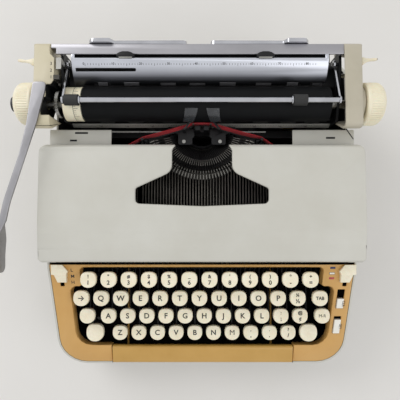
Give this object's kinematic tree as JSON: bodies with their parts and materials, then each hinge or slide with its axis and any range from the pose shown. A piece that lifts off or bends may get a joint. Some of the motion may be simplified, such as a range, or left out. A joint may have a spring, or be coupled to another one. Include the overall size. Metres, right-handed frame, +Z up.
{
  "type": "manual typewriter",
  "caption": "Flat portable manual typewriter with a basket shift, hinged cover, moving carriage with platen, keys on levers and a swinging type bar.",
  "frame": {"origin": "on the table, at the centre of the four feet's bores", "axes": "+X along the platen to the typist's right, +Y from the typist to the back, +Z up"},
  "size_m": [0.3515, 0.314, 0.1313],
  "materials": {
    "shell_paint": "semi gloss",
    "tan_plastic": "satin",
    "foot_rubber": "matt",
    "frame_steel": "dull",
    "rail_steel": "ground",
    "black_enamel": "gloss",
    "chrome": "polished",
    "bell_brass": "polished",
    "ribbon_cloth": "woven",
    "cream_plastic": "glossy",
    "key_plastic": "glossy",
    "space_plastic": "satin",
    "platen_rubber": "matt",
    "collar_paint": "satin",
    "rail_aluminium": "brushed",
    "table_aluminium": "polished",
    "black_plastic": "satin",
    "bar_steel": "ground",
    "spool_metal": "satin",
    "white_plastic": "satin"
  },
  "bodies": {
    "frame": {"base_shell": "shell_paint", "keyboard_surround": "tan_plastic", "rubber_feet": "foot_rubber", "chassis": "frame_steel", "carriage_rails": "rail_steel", "fulcrum_rod": "rail_steel", "margin_bell": "bell_brass", "type_guide": "black_enamel", "ink_ribbon": "ribbon_cloth", "frame_screws": "chrome"},
    "cover": {"top_cover": "shell_paint"},
    "carriage": {"carriage_frame": "black_enamel", "end_cap_left": "cream_plastic", "end_cap_right": "cream_plastic", "rear_rail": "rail_aluminium", "paper_table": "table_aluminium", "line_scale": "table_aluminium", "paper_deflector": "black_enamel", "tab_rack": "rail_steel"},
    "platen": {"platen_roller": "platen_rubber", "platen_shaft": "rail_steel", "platen_collar": "collar_paint", "knob_left": "cream_plastic", "knob_right": "cream_plastic"},
    "clutch": {"clutch_button": "black_plastic"},
    "bail": {"paper_bail": "chrome"},
    "bail_wheels": {"bail_rollers": "platen_rubber"},
    "return_arm": {"return_lever": "chrome"},
    "spacing_arm": {"line_space_selector": "black_enamel"},
    "release_arms": {"carriage_release": "cream_plastic"},
    "paper_arm": {"paper_release_lever": "chrome"},
    "feed_front": {"feed_roller_front": "platen_rubber"},
    "feed_rear": {"feed_roller_rear": "platen_rubber"},
    "stop_left": {"margin_stop_left": "black_plastic"},
    "stop_right": {"margin_stop_right": "black_plastic"},
    "support_left": {"paper_support_left": "chrome"},
    "support_right": {"paper_support_right": "chrome"},
    "drum": {"mainspring_drum": "frame_steel"},
    "escapement": {"escapement_wheel": "bell_brass"},
    "spool_left": {"ribbon_spool_left": "spool_metal"},
    "spool_right": {"ribbon_spool_right": "spool_metal"},
    "vibrator": {"ribbon_vibrator": "rail_steel"},
    "basket": {"type_segment": "black_enamel", "typebars": "bar_steel"},
    "bar_h": {"typebar_h": "bar_steel"},
    "h_key": {"key_h": "key_plastic"},
    "row_1": {"keys_row_1": "key_plastic"},
    "row_2": {"keys_row_2": "key_plastic"},
    "row_3": {"keys_row_3": "key_plastic"},
    "row_4": {"keys_row_4": "key_plastic"},
    "shift": {"shift_keys": "key_plastic"},
    "shift_lock": {"shift_lock_key": "key_plastic"},
    "backspace": {"backspace_key": "key_plastic"},
    "tabulator": {"tab_key": "key_plastic"},
    "margin_release": {"margin_release_key": "key_plastic"},
    "space": {"space_bar": "space_plastic"},
    "touch": {"touch_lever": "cream_plastic"},
    "ribbon_choice": {"ribbon_selector": "cream_plastic"},
    "tab_clear": {"tab_clear_slider": "white_plastic"},
    "tab_set": {"tab_set_slider": "white_plastic"}
  },
  "joints": [
    {"name": "cover_hinge", "type": "hinge", "parent": "frame", "child": "cover", "pos_m": [0, -0.04, 0.0992], "axis": [-1, 0, 0], "range_deg": [-45, 0]},
    {"name": "carriage_slide", "type": "slide", "parent": "frame", "child": "carriage", "axis": [1, 0, 0], "range_m": [-0.10922, 0.10922]},
    {"name": "platen_spin", "type": "hinge", "parent": "carriage", "child": "platen", "pos_m": [0, 0.106, 0.105], "axis": [1, 0, 0], "continuous": true},
    {"name": "clutch_press", "type": "slide", "parent": "platen", "child": "clutch", "axis": [1, 0, 0], "range_m": [0, 0.002], "stiffness_N_per_m": 400, "springref_m": -0.001},
    {"name": "bail_lift", "type": "hinge", "parent": "carriage", "child": "bail", "pos_m": [0, 0.142, 0.112], "axis": [-1, 0, 0], "range_deg": [0, 60]},
    {"name": "bail_roller_spin", "type": "hinge", "parent": "bail", "child": "bail_wheels", "pos_m": [0, 0.1038, 0.12629], "axis": [1, 0, 0], "continuous": true},
    {"name": "return_swing", "type": "hinge", "parent": "carriage", "child": "return_arm", "pos_m": [-0.1468, 0.1143, 0.127], "axis": [0, 0, 1], "range_deg": [0, 28], "stiffness_Nm_per_rad": 0.25, "springref_deg": -8.59},
    {"name": "line_space_set", "type": "hinge", "parent": "carriage", "child": "spacing_arm", "pos_m": [0, 0.124, 0.112], "axis": [1, 0, 0], "range_deg": [-15, 15]},
    {"name": "carriage_release_pull", "type": "hinge", "parent": "carriage", "child": "release_arms", "pos_m": [0, 0.136, 0.099], "axis": [1, 0, 0], "range_deg": [0, 12], "stiffness_Nm_per_rad": 0.5, "springref_deg": -5.73},
    {"name": "paper_release_pull", "type": "hinge", "parent": "carriage", "child": "paper_arm", "pos_m": [0, 0.1365, 0.1075], "axis": [1, 0, 0], "range_deg": [0, 22]},
    {"name": "feed_front_spin", "type": "hinge", "parent": "carriage", "child": "feed_front", "pos_m": [0, 0.0961, 0.08785], "axis": [1, 0, 0], "continuous": true},
    {"name": "feed_rear_spin", "type": "hinge", "parent": "carriage", "child": "feed_rear", "pos_m": [0, 0.11873, 0.08983], "axis": [1, 0, 0], "continuous": true},
    {"name": "left_margin_slide", "type": "slide", "parent": "carriage", "child": "stop_left", "axis": [1, 0, 0], "range_m": [-0.038, 0.055]},
    {"name": "right_margin_slide", "type": "slide", "parent": "carriage", "child": "stop_right", "axis": [1, 0, 0], "range_m": [-0.055, 0.046]},
    {"name": "left_support_lift", "type": "hinge", "parent": "carriage", "child": "support_left", "pos_m": [-0.018, 0.1568, 0.119], "axis": [0, 1, 0], "range_deg": [0, 70]},
    {"name": "right_support_lift", "type": "hinge", "parent": "carriage", "child": "support_right", "pos_m": [0.012, 0.1568, 0.119], "axis": [0, -1, 0], "range_deg": [0, 70]},
    {"name": "drum_turn", "type": "hinge", "parent": "frame", "child": "drum", "pos_m": [-0.088, 0.122, 0.04], "axis": [0, 1, 0], "range_deg": [-340, 340]},
    {"name": "escapement_turn", "type": "hinge", "parent": "frame", "child": "escapement", "pos_m": [0.022, 0.118, 0.07], "axis": [0, 0, 1], "range_deg": [-800, 800]},
    {"name": "left_spool_spin", "type": "hinge", "parent": "frame", "child": "spool_left", "pos_m": [-0.1, 0.028, 0.096], "axis": [0, 0, 1], "continuous": true},
    {"name": "right_spool_spin", "type": "hinge", "parent": "frame", "child": "spool_right", "pos_m": [0.1, 0.028, 0.096], "axis": [0, 0, 1], "continuous": true},
    {"name": "ribbon_lift", "type": "slide", "parent": "frame", "child": "vibrator", "axis": [0, 0, 1], "range_m": [0, 0.008], "stiffness_N_per_m": 30, "springref_m": -0.002},
    {"name": "basket_drop", "type": "slide", "parent": "frame", "child": "basket", "axis": [0, 0, -1], "range_m": [0, 0.00641]},
    {"name": "h_bar_swing", "type": "hinge", "parent": "basket", "child": "bar_h", "pos_m": [0.00063, 0.06651, 0.079], "axis": [-0.9996, -0.0288, 0], "range_deg": [0, 97]},
    {"name": "h_key_press", "type": "hinge", "parent": "frame", "child": "h_key", "pos_m": [0, 0.072, 0.056], "axis": [1, 0, 0], "range_deg": [0, 3.69], "stiffness_Nm_per_rad": 0.6, "springref_deg": -6.88},
    {"name": "row_1_press", "type": "hinge", "parent": "frame", "child": "row_1", "pos_m": [0, 0.072, 0.056], "axis": [1, 0, 0], "range_deg": [0, 4.77], "stiffness_Nm_per_rad": 6, "springref_deg": -6.88},
    {"name": "row_2_press", "type": "hinge", "parent": "frame", "child": "row_2", "pos_m": [0, 0.072, 0.056], "axis": [1, 0, 0], "range_deg": [0, 4.16], "stiffness_Nm_per_rad": 6, "springref_deg": -6.88},
    {"name": "row_3_press", "type": "hinge", "parent": "frame", "child": "row_3", "pos_m": [0, 0.072, 0.056], "axis": [1, 0, 0], "range_deg": [0, 3.69], "stiffness_Nm_per_rad": 6, "springref_deg": -6.88},
    {"name": "row_4_press", "type": "hinge", "parent": "frame", "child": "row_4", "pos_m": [0, 0.072, 0.056], "axis": [1, 0, 0], "range_deg": [0, 3.31], "stiffness_Nm_per_rad": 6, "springref_deg": -6.88},
    {"name": "shift_press", "type": "hinge", "parent": "frame", "child": "shift", "pos_m": [0, 0.072, 0.056], "axis": [1, 0, 0], "range_deg": [0, 3.31], "stiffness_Nm_per_rad": 2.5, "springref_deg": -6.88},
    {"name": "shift_lock_press", "type": "hinge", "parent": "frame", "child": "shift_lock", "pos_m": [0, 0.072, 0.056], "axis": [1, 0, 0], "range_deg": [0, 3.69], "stiffness_Nm_per_rad": 0.6, "springref_deg": -6.88},
    {"name": "backspace_press", "type": "hinge", "parent": "frame", "child": "backspace", "pos_m": [0, 0.072, 0.056], "axis": [1, 0, 0], "range_deg": [0, 4.16], "stiffness_Nm_per_rad": 0.6, "springref_deg": -6.88},
    {"name": "tab_press", "type": "hinge", "parent": "frame", "child": "tabulator", "pos_m": [0, 0.072, 0.056], "axis": [1, 0, 0], "range_deg": [0, 4.16], "stiffness_Nm_per_rad": 0.6, "springref_deg": -6.88},
    {"name": "margin_release_press", "type": "hinge", "parent": "frame", "child": "margin_release", "pos_m": [0, 0.072, 0.056], "axis": [1, 0, 0], "range_deg": [0, 3.69], "stiffness_Nm_per_rad": 0.6, "springref_deg": -6.88},
    {"name": "space_press", "type": "hinge", "parent": "frame", "child": "space", "pos_m": [0, -0.056, 0.03], "axis": [1, 0, 0], "range_deg": [0, 3.8], "stiffness_Nm_per_rad": 1.5, "springref_deg": -6.88},
    {"name": "touch_slide", "type": "slide", "parent": "frame", "child": "touch", "axis": [0, -0.9178, -0.3971], "range_m": [0, 0.01]},
    {"name": "ribbon_choice_slide", "type": "slide", "parent": "frame", "child": "ribbon_choice", "axis": [0, -0.9178, -0.3971], "range_m": [0, 0.01]},
    {"name": "tab_clear_slide", "type": "slide", "parent": "frame", "child": "tab_clear", "axis": [0, 0.9178, 0.3971], "range_m": [0, 0.008], "stiffness_N_per_m": 40, "springref_m": -0.004},
    {"name": "tab_set_slide", "type": "slide", "parent": "frame", "child": "tab_set", "axis": [0, 0.9178, 0.3971], "range_m": [0, 0.003], "stiffness_N_per_m": 40, "springref_m": -0.002}
  ],
  "couplings": [
    {"joint": "bail_roller_spin", "follows": "platen_spin", "ratio": -3.2},
    {"joint": "feed_front_spin", "follows": "platen_spin", "ratio": -4.5714},
    {"joint": "feed_rear_spin", "follows": "platen_spin", "ratio": -4.5714},
    {"joint": "drum_turn", "follows": "carriage_slide", "rad_per_m": 50},
    {"joint": "escapement_turn", "follows": "carriage_slide", "rad_per_m": 123.68},
    {"joint": "right_spool_spin", "follows": "left_spool_spin", "ratio": 1},
    {"joint": "basket_drop", "follows": "shift_press", "m_per_rad": 0.11078},
    {"joint": "h_bar_swing", "follows": "h_key_press", "ratio": 26.284}
  ]
}
